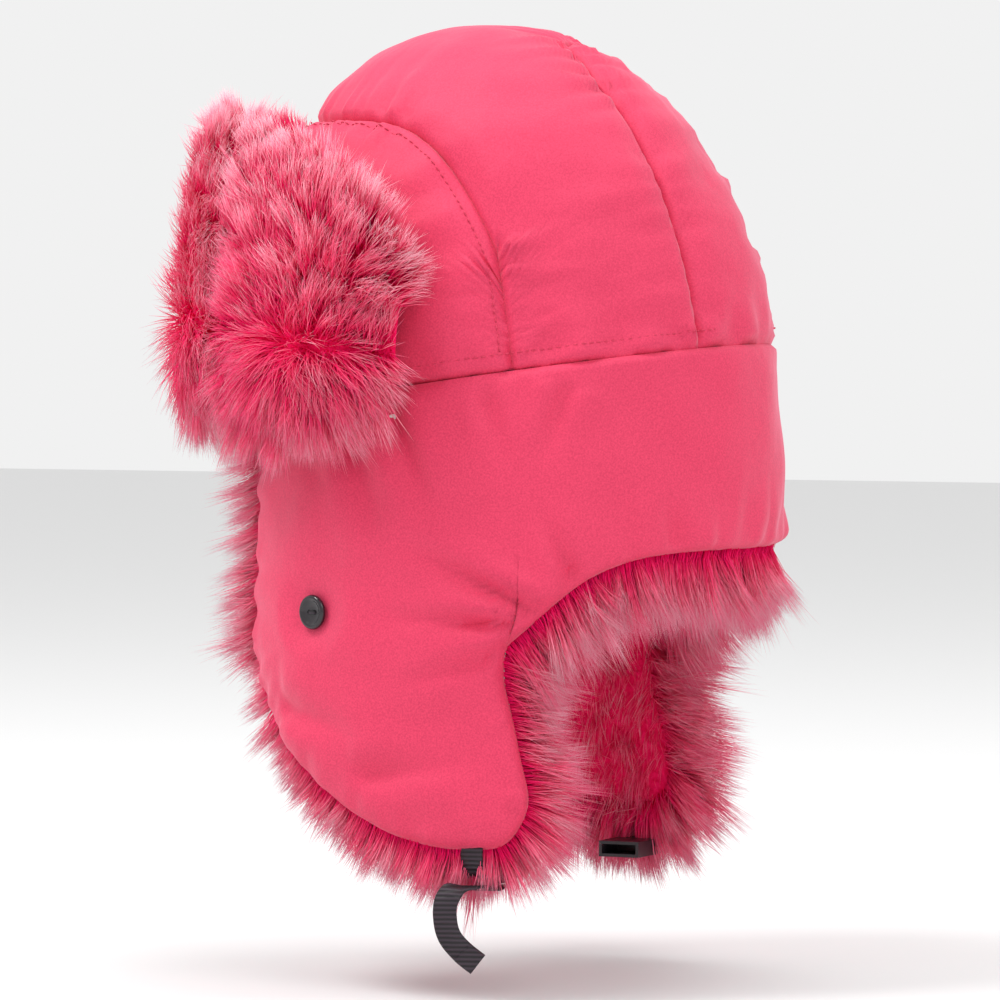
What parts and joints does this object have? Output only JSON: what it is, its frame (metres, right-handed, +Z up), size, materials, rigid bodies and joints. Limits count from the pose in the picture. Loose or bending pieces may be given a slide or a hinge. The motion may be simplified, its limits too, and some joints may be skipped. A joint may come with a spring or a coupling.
{
  "type": "trapper hat",
  "caption": "Padded winter hat with a turned-up pile front flap, ear flaps that fold up, and a chin strap with a side-release buckle.",
  "frame": {"origin": "middle of the band seam, where the head sits", "axes": "+Z up, -Y towards the face, +X towards the wearer's left"},
  "size_m": [0.2466, 0.2509, 0.376],
  "materials": {
    "crown_front_panel": "fine plain weave, soft sheen",
    "crown_middle_panel": "fine plain weave, soft sheen",
    "crown_back_panel": "fine plain weave, soft sheen",
    "crown_padding": "bonded wadding",
    "crown_lining": "plain lining cloth",
    "sweatband": "plain woven tape",
    "skirt_cloth": "fine plain weave, soft sheen",
    "skirt_padding": "bonded wadding",
    "skirt_pile": "long pile, pale tips",
    "front_flap_cloth": "fine plain weave, soft sheen",
    "front_flap_padding": "bonded wadding",
    "front_flap_pile": "long pile, pale tips",
    "snap_stud": "stamped press stud",
    "snap_socket": "stamped press stud",
    "left_button": "polished rim, dished face",
    "left_button_thread": "sewing thread",
    "left_flap_cloth": "fine plain weave, soft sheen",
    "left_flap_padding": "bonded wadding",
    "left_flap_pile": "long pile, pale tips",
    "left_strap_webbing": "ribbed webbing",
    "right_button": "polished rim, dished face",
    "right_button_thread": "sewing thread",
    "right_flap_cloth": "fine plain weave, soft sheen",
    "right_flap_padding": "bonded wadding",
    "right_flap_pile": "long pile, pale tips",
    "right_strap_webbing": "ribbed webbing",
    "left_buckle_plug": "moulded",
    "right_buckle_socket": "moulded",
    "left_strap_tail": "ribbed webbing, folded end"
  },
  "bodies": {
    "crown": {"crown_front_panel": "crown_front_panel", "crown_middle_panel": "crown_middle_panel", "crown_back_panel": "crown_back_panel", "crown_padding": "crown_padding", "crown_lining": "crown_lining", "sweatband": "sweatband", "skirt_cloth": "skirt_cloth", "skirt_padding": "skirt_padding", "skirt_pile": "skirt_pile", "snap_stud": "snap_stud", "left_button": "left_button", "left_button_thread": "left_button_thread", "right_button": "right_button", "right_button_thread": "right_button_thread"},
    "front_flap": {"front_flap_cloth": "front_flap_cloth", "front_flap_padding": "front_flap_padding", "front_flap_pile": "front_flap_pile", "snap_socket": "snap_socket"},
    "left_ear_flap": {"left_flap_cloth": "left_flap_cloth", "left_flap_padding": "left_flap_padding", "left_flap_pile": "left_flap_pile"},
    "right_ear_flap": {"right_flap_cloth": "right_flap_cloth", "right_flap_padding": "right_flap_padding", "right_flap_pile": "right_flap_pile"},
    "left_strap": {"left_strap_webbing": "left_strap_webbing", "left_buckle_plug": "left_buckle_plug", "left_strap_tail": "left_strap_tail"},
    "right_strap": {"right_strap_webbing": "right_strap_webbing", "right_buckle_socket": "right_buckle_socket"}
  },
  "joints": [
    {"name": "front_flap_fold", "type": "hinge", "parent": "crown", "child": "front_flap", "pos_m": [0, -0.1227, -0.032], "axis": [1, 0, 0], "range_deg": [0, 150]},
    {"name": "left_flap_fold", "type": "hinge", "parent": "crown", "child": "left_ear_flap", "pos_m": [0.10116, 0, -0.104], "axis": [0, -1, 0], "range_deg": [0, 150]},
    {"name": "right_flap_fold", "type": "hinge", "parent": "crown", "child": "right_ear_flap", "pos_m": [-0.10116, 0, -0.104], "axis": [0, 1, 0], "range_deg": [0, 150]},
    {"name": "left_strap_swing", "type": "hinge", "parent": "left_ear_flap", "child": "left_strap", "pos_m": [0.09049, 0.024, -0.18597], "axis": [0, -1, 0], "range_deg": [0, 100]},
    {"name": "right_strap_swing", "type": "hinge", "parent": "right_ear_flap", "child": "right_strap", "pos_m": [-0.09049, 0.024, -0.18597], "axis": [0, 1, 0], "range_deg": [0, 100]}
  ]
}
